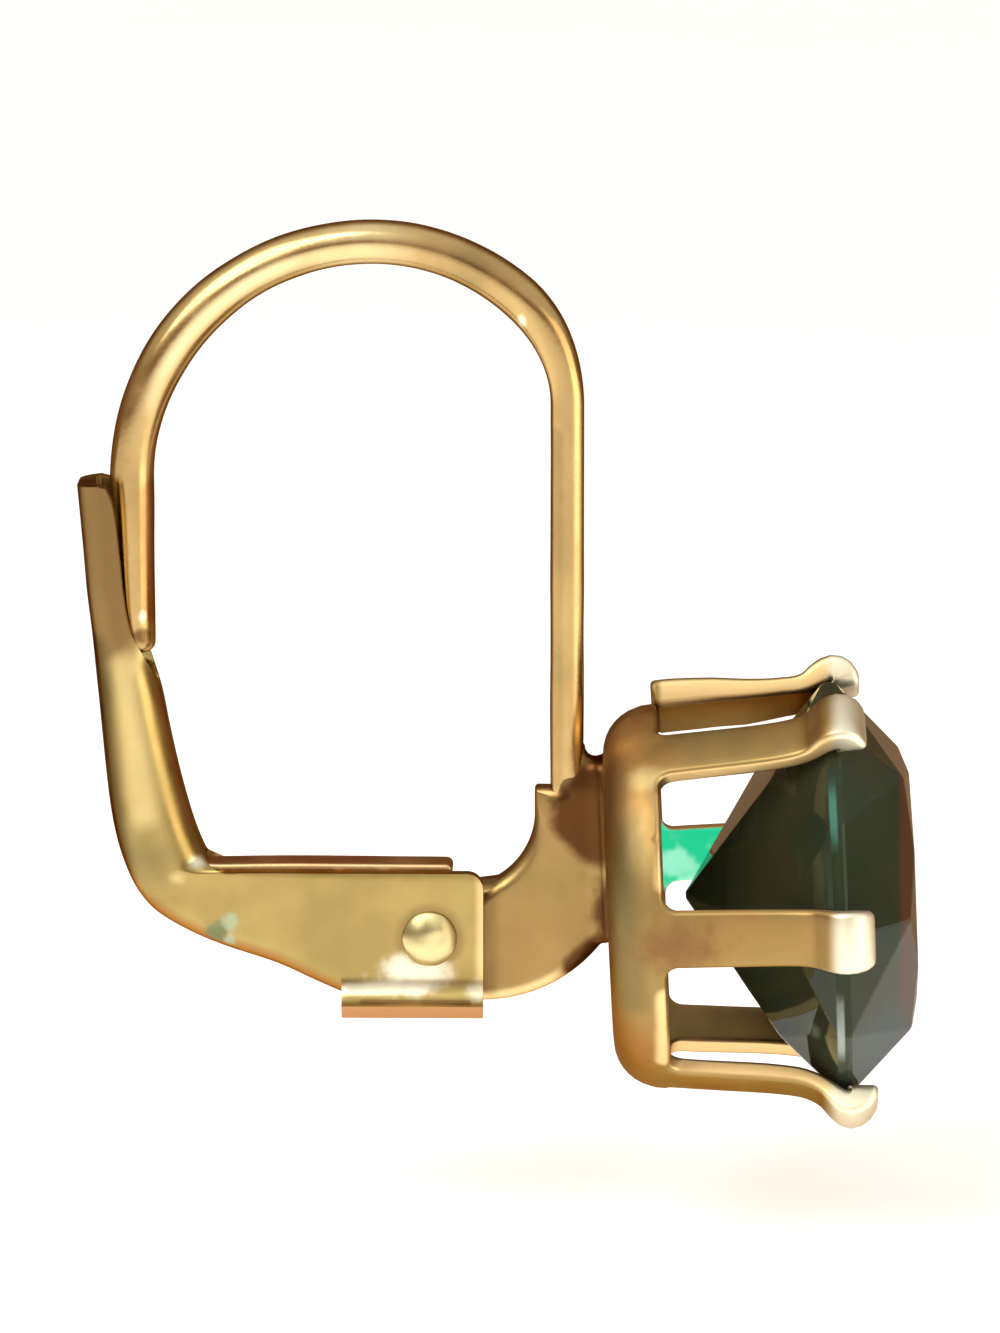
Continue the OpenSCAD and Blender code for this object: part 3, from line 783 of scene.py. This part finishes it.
def applyModifiers(piece):
    bpy.context.view_layer.update()
    held = piece.evaluated_get(bpy.context.evaluated_depsgraph_get())
    made = bpy.data.meshes.new_from_object(held)
    piece.modifiers.clear()
    piece.data = made


def buildLever(material):
    v = foldedLever
    rows = smoothLine(leverStations, 7)
    outers = [Vector((r[0], r[1])) for r in rows]
    inwards = sideNormals(outers, closed=False)
    ribs = []
    for row, outer, inward in zip(rows, outers, inwards):
        upright = blendStep(outer.x, v["uprightX"], v["keelEnd"])
        inward = inward.lerp(Vector((0, 1)), upright).normalized()
        close = min(1.0, max(0.0, row[4]))
        ribs.append(leverRib(outer, inward, Vector((row[2], row[3])), close, row[5]))
    half = loft(ribs, False, False, closed=False)
    top = v["cheekTop"]
    r = v["cornerRound"]
    flatEnd = v["cheekEnd"] - r
    steps = v["cornerSteps"]
    xs = list(np.linspace(v["keelEnd"], flatEnd, v["cheekSteps"]))
    xs += [flatEnd + r * math.sin(math.radians(90 * k / steps)) for k in range(1, steps + 1)]
    cheek = []
    for x in xs:
        z = top - r + math.sqrt(max(r * r - max(0.0, x - flatEnd) ** 2, 0))
        bottom = Vector((x, v["lipZ"]))
        wall = [(bottom.lerp(Vector((x, z)), k / v["wallSteps"]), -v["half"]) for k in range(v["wallSteps"], -1, -1)]
        lip = []
        for k in range(1, v["lipSteps"] + 1):
            a = math.radians(v["lipTurn"] * k / v["lipSteps"])
            lip.append((bottom - Vector((0, v["lipRadius"] * math.sin(a))),
                        -v["half"] - v["lipRadius"] * (1 - math.cos(a))))
        cheek.append([Vector((p.x, y, p.y)) for p, y in wall + lip])
    bm = joinMeshes(half, loft(cheek, False, False, closed=False))
    bmesh.ops.remove_doubles(bm, verts=bm.verts, dist=v["weld"])
    mirrorAcross(bm)
    bmesh.ops.remove_doubles(bm, verts=bm.verts, dist=v["weld"])
    for vert in bm.verts:  # the far cheek is filed a little lower, and lower still at its front
        if vert.co.y > 0.4:
            filed = v["farFiled"] * blendStep(vert.co.x, v["farFrom"], v["farTo"])
            filed += v["frontFiled"] * blendStep(vert.co.x, v["frontFrom"], v["frontTo"])
            vert.co.z -= filed * blendStep(vert.co.z, v["filedZ"], top - v["filedBelow"])
    piece = finishPiece("folded_lever", bm, "lever", material, ["lever"])
    wallSpot = Vector((0, -v["half"], (top + v["lipZ"]) / 2)) * mm  # the middle of the near cheek's outer face
    wallFace = min(piece.data.polygons, key=lambda face: (face.center - wallSpot).length)
    solid = piece.modifiers.new("sheet", "SOLIDIFY")
    solid.thickness = v["sheet"] * mm
    solid.offset = -1 if wallFace.normal.y < 0 else 1  # the sheet grows inward from the outer face
    solid.use_even_offset = True
    rim = piece.modifiers.new("rim", "BEVEL")
    rim.width = v["cutRound"] * mm
    rim.segments = v["cutSteps"]
    rim.limit_method = "ANGLE"
    rim.angle_limit = math.radians(v["cutAngle"])
    applyModifiers(piece)
    return piece


# The spring tongue, which grows out of the arm and rests over the nose
springTongue = dict(
    top=-12.10, thick=0.27, wide=0.82, rootX=-3.72, endX=1.58, edge=0.07, grid=0.14,
    middleX=-1.6, camber=0.015,  # it is a little higher at the middle of its length
    spacing=0.2, waves=(0.004, 0.8, 5),
    gold=(0.90, 0.60, 0.32, 1), secondGold=(0.80, 0.58, 0.30, 1),
)


def buildTongue(material):
    t = springTongue
    low = t["top"] - t["thick"]
    r = t["thick"] / 2
    root = [(t["rootX"], t["top"] + 0.45), (t["rootX"] + 0.16, t["top"] + 0.12)]
    upper = smoothLine(root + [(t["rootX"] + 0.42, t["top"]), (t["middleX"], t["top"] + t["camber"]),
                               (t["endX"] - r, t["top"])], 12)
    under = smoothLine([(t["endX"] - r, low), (t["middleX"], low + t["camber"]), (t["rootX"] + 0.35, low),
                        (t["rootX"] - 0.05, low - 0.02), (t["rootX"] - 0.25, low + 0.2)], 10)
    outline = upper + arc((t["endX"] - r, t["top"] - r), r, 80, -80, 8) + under
    outline = evenLine(list(reversed(outline)), t["spacing"])
    bm = sheetMesh(outline, [], t["wide"] / 2, t["edge"], t["grid"], lambda u, v, n: Vector((u, n, v)), closed=True)
    roughen(bm, *t["waves"])
    return finishPiece("spring_tongue", bm, "lever", material)


# The rivet, with a low domed head on each end
hingeRivet = dict(
    shank=0.36, head=0.55, rise=0.2, seat=0.81, sides=48, waves=(0.02, 0.35, 2),
    gold=(0.80, 0.70, 0.36, 1), secondGold=(0.62, 0.50, 0.22, 1),
)


def buildRivet(material):
    r = hingeRivet
    line = [(0.0, r["seat"] + r["rise"]), (0.16, r["seat"] + r["rise"] * 0.985), (0.30, r["seat"] + r["rise"] * 0.86),
            (0.42, r["seat"] + r["rise"] * 0.6), (0.51, r["seat"] + 0.06), (r["head"], r["seat"] + 0.02)]
    line = smoothLine(line, 4) + [Vector((r["head"] - 0.03, r["seat"])), Vector((r["shank"], r["seat"] - 0.01))]
    line = line + [Vector((p.x, -p.y)) for p in reversed(line)]
    rings = [[Vector((hingeX + p.x * math.cos(a), -p.y, hingeZ + p.x * math.sin(a)))
              for a in (2 * math.pi * k / r["sides"] for k in range(r["sides"]))] for p in line[1:-1]]
    bm = loft(rings)
    roughen(bm, *r["waves"])
    return finishPiece("hinge_rivet", bm, "lever", material, ["rivet"])


# The finishes, worked from the pieces' own places, and the build
axisX, axisDown = (1, 0, 0), (0, 0, -1)
outFace, outEdge, inEdge, inFace = 0.75, 0.3, -0.25, -0.6  # outward shares that part the basket's faces


def outwardShare(tree):  # 1 on the basket's outside, -1 on its inside, 0 on a cut edge
    b = basketSheet
    lean = math.tan(math.radians(b["tilt"]))
    moved = vectorNode(tree, "SUBTRACT", objectPlace(tree), (b["centreX"] * mm, 0, b["centreZ"] * mm))
    rise = mathNode(tree, "MULTIPLY", vectorNode(tree, "DOT_PRODUCT", moved, (1, 0, 0)), -lean)
    lifted = tree.nodes.new("ShaderNodeCombineXYZ")
    tree.links.new(rise, lifted.inputs[2])
    radial = vectorNode(tree, "MULTIPLY", vectorNode(tree, "ADD", moved, lifted.outputs[0]), (0, 1, 1))
    return vectorNode(tree, "DOT_PRODUCT", vectorNode(tree, "NORMALIZE", radial), objectNormal(tree))


def basketInside(tree):
    return stepMask(tree, outwardShare(tree), inEdge, inFace)


def basketCutEdge(tree):
    low = basketSheet["centreX"]
    outward = outwardShare(tree)
    side = mathNode(tree, "MULTIPLY", stepMask(tree, outward, outFace, outEdge),
                    stepMask(tree, outward, inFace, inEdge))
    return mathNode(tree, "MULTIPLY", side, beyondMask(tree, axisX, low + 0.95, low + 1.1))


def litProng(tree):  # the inner face of the far prong, green with the light through the stone
    place = spotMask(tree, (6.5, 3.45, -12.75), 1.2, 0.3, (0.5, 1.5, 1.4), 0.2)
    return mathNode(tree, "MULTIPLY", place, basketInside(tree))


def basketShoulder(tree):  # the top and the bottom of the cup's round edge
    b = basketSheet
    upright = mathNode(tree, "ABSOLUTE", vectorNode(tree, "DOT_PRODUCT", objectNormal(tree), axisDown))
    return mathNode(tree, "MULTIPLY", stepMask(tree, upright, 0.35, 0.8),
                    beyondMask(tree, (-1, 0, 0), -b["centreX"] - 1.1, -b["centreX"] - 0.8))


def archHighlight(tree):  # the inner side of the arch's back, with a painted highlight
    backZ = earWire["thick"] / 2 - earWire["backRadius"]
    ring = ringMask(tree, 0, backZ, earWire["backRadius"] - 0.36, earWire["backRadius"] + 0.2)
    return mathNode(tree, "MULTIPLY", ring, spotMask(tree, (-2.9, 0, -1.1), 2.9, 0.6))


def bellyHighlight(tree):  # a painted highlight along the lower edge of the foot, up to the solder
    f = footPlate
    ring = ringMask(tree, f["bellyX"], f["bellyZ"], f["bellyRadius"] - 0.3, f["bellyRadius"] + 0.6)
    return mathNode(tree, "MULTIPLY", ring, beyondMask(tree, (-1, 0, 0), -3.9, -3.5))


def troughEdge(tree):  # the cut edges of the walls beside the wire's end
    return mathNode(tree, "MULTIPLY", facingMask(tree, axisX, 0.12, 0.45), beyondMask(tree, (0, 0, 1), -8.2, -7.6))


def tableEdge(tree):  # the small facets beside the stone's table, with a painted brown reflection
    beside = mathNode(tree, "SUBTRACT", 1.0, facingMask(tree, axisX, 0.93, 0.98))
    return mathNode(tree, "MULTIPLY", beside, beyondMask(tree, axisX, 10.4, 10.56))


def girdleBand(centre, reach):  # a stretch of the girdle that catches the light
    def mask(tree):
        s = cutStone
        along = direction(basketSheet["tilt"])
        start = Vector((basketSheet["centreX"], basketSheet["centreZ"])).dot(along) + s["girdleZ"]
        place = vectorNode(tree, "DOT_PRODUCT", objectPlace(tree), (along.x, 0, along.y))
        band = mathNode(tree, "MULTIPLY", stepMask(tree, place, (start - 0.05) * mm, start * mm),
                        stepMask(tree, place, (start + s["girdle"] * 0.6) * mm, (start + s["girdle"] * 0.4) * mm))
        return mathNode(tree, "MULTIPLY", band, spotMask(tree, centre, reach, 0.7))

    return mask


wireGold = goldMaterial("wire_gold", earWire["gold"], earWire["secondGold"], [
    # lighter over the top of the arch
    (spotAt((-0.1, -0.3, 0.05), 1.5, 0.9), 0.6, "brightGold"),
    (spotAt((1.9, -0.3, -0.1), 0.8, 0.9), 0.4, "olive"),
    # painted highlight on the inner side of the arch's back
    (archHighlight, 0.9, "brightGold"),
    # painted shade along the left side of the leg
    (bandAlong((3.6, -0.42, -3.4), (3.6, -0.42, -10.4), 0.26), 0.35, "dimGold"),
    (bandAlong((-4.38, -0.2, -4.6), (-4.38, -0.2, -6.9), 0.42), 0.75, "orange"),
    # painted glint just above the wire's end
    (spotAt((-4.62, -0.36, -7.05), 0.13, 0.9, (1, 1, 0.7)), 0.8, "cream"),
    # painted shade at the wire's end
    (spotAt((-4.66, -0.30, -7.45), 0.26), 0.8, "brown"),
    # painted glint on the inner side of the shoulder
    (spotAt((2.96, -0.36, -1.08), 0.15, 0.9, (1, 1, 0.7)), 0.8, "cream"),
], roughness=(0.2, 0.32))
footGold = goldMaterial("foot_gold", footPlate["gold"], footPlate["secondGold"], [
    # painted reflection, warmer and brighter on the faces that look down
    (facingTo(axisDown, 0.3, 0.75), 0.7, "warm"),
    # painted highlight along the foot's lower edge
    (bellyHighlight, 0.85, "straw"),
    # painted shadow on the foot beside the cheek's right edge
    (bandAlong((2.3, -0.42, -12.0), (2.3, -0.42, -14.6), 0.32, 0.95), 0.7, "dimGold"),
    # painted shade over the solder between the foot and the cup, and in the joints above and below it
    (spotAt((4.72, 0, -11.0), 1.3, 0.25, (1, 0.3, 1), 0.35), 0.97, "brown"),
    (spotAt((4.7, 0, -10.2), 0.8, 0.5, (1, 0.3, 1)), 0.9, "brown"),
    (spotAt((4.95, 0, -13.0), 0.75, 0.5, (1, 0.3, 0.6)), 0.95, "brown"),
    (bandAlong((4.0, -0.3, -14.15), (4.8, -0.3, -13.5), 0.34, 0.5), 0.95, "brown"),
], roughness=(0.3, 0.42))
basketGold = goldMaterial("basket_gold", basketSheet["gold"], basketSheet["secondGold"], [
    # painted shade on the back of the cup, the faces that look toward the wire
    (facingTo((-1, 0, 0), 0.35, 0.9), 0.6, "dimGold"),
    # painted reflection on the top and the bottom of the cup's round edge
    (basketShoulder, 0.28, "orange"),
    # painted reflection, warmer over the top of the cup
    (spotAt((4.95, -1.0, -9.3), 1.3, 0.9), 0.6, "warm"),
    # painted reflection at the lower near side of the cup
    (spotAt((4.9, -2.9, -15.3), 1.3, 0.9), 0.65, "orange"),
    (bandAlong((5.05, -3.3, -10.6), (5.1, -3.6, -14.1), 0.62, 0.7), 0.75, "olive"),
    # painted highlights along the window edges above and below the near prong
    (bandAlong((5.8, -2.75, -10.2), (5.8, -3.7, -11.7), 0.26, 0.7), 0.9, "straw"),
    (bandAlong((5.83, -3.7, -14.0), (5.83, -2.75, -15.5), 0.26, 0.7), 0.9, "straw"),
    # painted highlight on the cut edges of the sheet
    (basketCutEdge, 0.85, "straw"),
    (basketInside, 0.95, "inner"),
    # painted highlight on the prong tips
    (farAlong(axisX, 8.95, 9.3), 0.92, "cream"),
    # painted highlight at the root of the upper near prong
    (spotAt((5.5, -2.3, -9.95), 0.55, 0.8, (0.9, 1, 1.4), 0.3), 0.9, "pale"),
    # painted glint on the near side of the cup
    (spotAt((5.15, -3.72, -11.9), 0.11, 0.8, (1, 1, 0.7), 0.2), 0.95, "cream"),
    (spotAt((6.1, -3.9, -12.95), 0.75, 0.9, (0.55, 0.5, 1), 0.9), 0.8, "umber"),
], roughness=(0.4, 0.52),
    lit=(litProng, "emerald", "mint"))
leverGold = goldMaterial("lever_gold", foldedLever["gold"], foldedLever["secondGold"], [
    # darker over the upper back of the trough
    (bandAlong((-5.5, -0.6, -4.2), (-5.35, -0.6, -7.1), 1.0, 0.42), 0.95, "dimGold"),
    (spotAt((-4.6, -0.7, -11.9), 1.0, 0.95), 0.7, "olive"),
    # painted shade at the lower bend of the arm
    (spotAt((-4.45, -0.6, -12.9), 0.6, 0.95), 0.5, "dimGold"),
    # painted highlight down the middle of the arm
    (bandAlong((-4.92, -0.75, -8.0), (-4.55, -0.75, -11.0), 0.46, 0.98), 0.8, "pale"),
    (bandAlong((-5.44, -0.52, -7.6), (-5.06, -0.52, -12.3), 0.46, 0.85), 0.96, "shade"),
    (bandAlong((-4.2, -0.4, -8.6), (-3.75, -0.4, -11.2), 0.22), 0.6, "rosy"),
    # painted shade, orange on the faces that look down
    (facingTo(axisDown, 0.15, 0.6), 0.75, "orange"),
    # dirt and painted shade in a ring round the rivet head
    (lambda tree: ringMask(tree, hingeX, hingeZ, 0.53, 0.80), 0.55, "dimGold"),
    # painted highlight along the near cheek's right edge
    (bandAlong((2.18, -0.8, -12.2), (2.18, -0.8, -14.5), 0.2, 0.95), 0.7, "straw"),
    (spotAt((-3.14, -0.8, -13.42), 0.34, 0.7, (1, 0.8, 1), 0.9), 0.75, "patina"),
    (spotAt((-2.86, -0.8, -13.2), 0.26, 0.7, (1, 0.8, 1), 0.9), 0.75, "verdigris"),
    (spotAt((-2.9, -0.8, -13.6), 0.2, 0.7, (1, 0.8, 1), 0.9), 0.75, "verdigris"),
    # painted highlights where the arm's tube ends over the cheek
    (spotAt((-3.92, -0.75, -12.3), 0.2, 0.9, (0.8, 1, 1)), 0.8, "pale"),
    (spotAt((-3.55, -0.6, -12.02), 0.24, 0.9, (0.8, 1, 1)), 0.9, "cream"),
    # painted highlight on the cut edges of the trough walls
    (troughEdge, 0.95, "pale"),
    # painted reflection on the lower edges of the lips
    (farAlong(axisDown, 14.80, 14.88), 0.8, "rosy"),
    # painted highlights on the near lip's bend
    (spotAt((0.8, -0.9, -14.25), 1.05, 0.8, (1, 1, 1.9), 1.3), 0.95, "cream"),
    (bandAlong((-0.5, -0.85, -14.55), (1.0, -0.85, -14.52), 0.2, 0.7), 0.75, "cream"),
    (spotAt((2.1, -0.9, -14.6), 0.35, 0.8), 0.6, "cream"),
    # painted shade line along the near lip's edge
    (bandAlong((-0.2, -1.03, -14.79), (1.9, -1.03, -14.79), 0.1), 0.75, "umber"),
], roughness=(0.28, 0.4))
tongueGold = goldMaterial("tongue_gold", springTongue["gold"], springTongue["secondGold"], [
    (bandAlong((-3.2, 0, -12.1), (-0.6, 0, -12.1), 0.6, 0.9), 0.35, "rosy"),
], roughness=(0.3, 0.4))
rivetGold = goldMaterial("rivet_gold", hingeRivet["gold"], hingeRivet["secondGold"], [
    # painted shade over the top left of the rivet head
    (spotAt((hingeX - 0.3, -1, hingeZ + 0.3), 0.5, 0.6), 0.6, "olive"),
], roughness=(0.3, 0.4))
stoneGlass = stoneMaterial(dict(cutStone, layers=[
    (tableEdge, 0.6, "redBrown"),
    # painted reflection on the lower facets
    (spotAt((10.0, -2.2, -15.2), 1.2, 0.6, (1, 0.6, 1)), 0.8, "slate"),
    (girdleBand((9.3, -3.5, -10.3), 0.9), 0.75, "teal"),
    (girdleBand((9.4, -3.2, -14.6), 1.2), 0.85, "frost"),
    # painted glints at the lower edge of the stone
    (spotAt((8.0, -1.6, -15.5), 0.36, 0.8, (1, 0.4, 1)), 0.6, "moss"),
    (spotAt((8.75, -3.0, -14.9), 0.24, 0.8, (1, 0.5, 0.8)), 0.5, "moss"),
]))

print("finishes ready")

buildEarWire(wireGold)
buildFoot(footGold)
buildBasket(basketGold)
buildStone(stoneGlass)
buildLever(leverGold)
buildTongue(tongueGold)
buildRivet(rivetGold)


# Floor, light and camera
studio = dict(
    floorZ=-19.5, floorSize=6000, floorParts=60, floorWaves=0.02, floorRough=0.9,
    floorGlow=0.5, glowTint=(1.0, 0.99, 0.97, 1),
    floorTint=(0.88, 0.87, 0.855, 1), floorCloud=(0.89, 0.885, 0.875, 1),
    cameraAzimuth=1.0, cameraElevation=11.5, lens=200.0, sensor=36.0, share=0.84,
    pictureWide=1000, pictureHigh=1333, clipShare=0.01,
    strength=0.95, horizon=(0.20, 0.085, 0.03, 1), low=(0.36, 0.21, 0.12, 1), sky=(0.74, 0.70, 0.64, 1),
    top=(1.0, 0.98, 0.95, 1), lowAt=0.2, skyAt=0.38,
    behind=(0.26, 0.15, 0.075, 1), behindFrom=0.05, behindFull=0.7,  # brown surroundings behind the piece
    brownFrom=7, brownFull=20,  # and the same brown on the floor, from here on
)
studioLights = (
    dict(name="window", power=0.05, size=56, place=(-40, -46, 52), aim=(0, 0, -8), shade=(1.0, 0.97, 0.92)),
    dict(name="side_fill", power=0.0085, size=36, place=(48, -28, -1), aim=(4, 0, -6), shade=(1.0, 0.86, 0.66)),
)


def buildStudio():
    bm = bmesh.new()
    bmesh.ops.create_grid(bm, x_segments=studio["floorParts"], y_segments=studio["floorParts"],
                              size=studio["floorSize"])
    for vert in bm.verts:
        vert.co.z = studio["floorZ"]
    floor = meshObject("floor", bm)
    material, tree, shader = newMaterial("pale_floor")
    tone = ramp(tree, noiseField(tree, studio["floorWaves"], 2.0),
                [(0.3, studio["floorTint"]), (0.7, studio["floorCloud"])])
    # the camera sees a white floor, and the metal and the stone reflect a brown one at the back
    unseen = mathNode(tree, "SUBTRACT", 1.0, tree.nodes.new("ShaderNodeLightPath").outputs["Is Camera Ray"])
    far = mathNode(tree, "MULTIPLY", unseen, beyondMask(tree, (0, 1, 0), studio["brownFrom"], studio["brownFull"]))
    feed(tree, shader.inputs["Base Color"], mixColor(tree, far, tone, studio["behind"]))
    shader.inputs["Roughness"].default_value = studio["floorRough"]
    feed(tree, shader.inputs["Emission Color"], mixColor(tree, far, studio["glowTint"], studio["behind"]))
    shader.inputs["Emission Strength"].default_value = studio["floorGlow"]
    floor.data.materials.append(material)
    floor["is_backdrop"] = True


def lookAlong(item, place, ahead):
    item.location = place
    item.rotation_mode = "QUATERNION"
    item.rotation_quaternion = ahead.to_track_quat("-Z", "Y")


def softLight(name, power, size, place, aim, shade):
    data = bpy.data.lights.new(name, "AREA")
    data.energy, data.size, data.color = power, size * mm, shade
    light = addObject(name, data)
    lookAlong(light, Vector(place) * mm, Vector(aim) - Vector(place))
    light.visible_camera = False


def buildWorld():
    world = bpy.data.worlds.new("studio")
    bpy.context.scene.world = world
    world.use_nodes = True
    tree = world.node_tree
    around = tree.nodes["Background"]
    split = tree.nodes.new("ShaderNodeSeparateXYZ")
    tree.links.new(tree.nodes.new("ShaderNodeTexCoord").outputs["Generated"], split.inputs[0])
    shade = ramp(tree, split.outputs[2], [(0.0, studio["horizon"]), (studio["lowAt"], studio["low"]),
                                          (studio["skyAt"], studio["sky"]), (1.0, studio["top"])])
    back = stepMask(tree, split.outputs[1], studio["behindFrom"], studio["behindFull"])
    shade = mixColor(tree, back, shade, studio["behind"])
    tree.links.new(shade, around.inputs[0])
    around.inputs[1].default_value = studio["strength"]
    plain = tree.nodes.new("ShaderNodeBackground")
    plain.inputs[0].default_value = (1, 1, 1, 1)
    path = tree.nodes.new("ShaderNodeLightPath")
    mix = tree.nodes.new("ShaderNodeMixShader")
    tree.links.new(path.outputs["Is Camera Ray"], mix.inputs[0])
    tree.links.new(around.outputs[0], mix.inputs[1])
    tree.links.new(plain.outputs[0], mix.inputs[2])
    tree.links.new(mix.outputs[0], tree.nodes["World Output"].inputs[0])


def buildCamera():
    low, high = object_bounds()
    centre = (low + high) / 2
    wide = (high.x - low.x) / studio["share"]
    data = bpy.data.cameras.new("photo_view")
    data.lens = studio["lens"]
    data.sensor_width = studio["sensor"]  # the long, upright side of the picture
    across = data.sensor_width * studio["pictureWide"] / studio["pictureHigh"]
    away = wide * data.lens / across
    turn, rise = math.radians(studio["cameraAzimuth"]), math.radians(studio["cameraElevation"])
    back = Vector((math.sin(turn) * math.cos(rise), -math.cos(turn) * math.cos(rise), math.sin(rise)))
    data.clip_start = away * studio["clipShare"]
    camera = addObject("photo_view", data)
    lookAlong(camera, centre + back * away, -back)
    bpy.context.scene.camera = camera


buildStudio()
buildWorld()
buildCamera()
for settings in studioLights:
    softLight(**settings)
bpy.context.scene.view_settings.view_transform = "Standard"
print("studio ready")
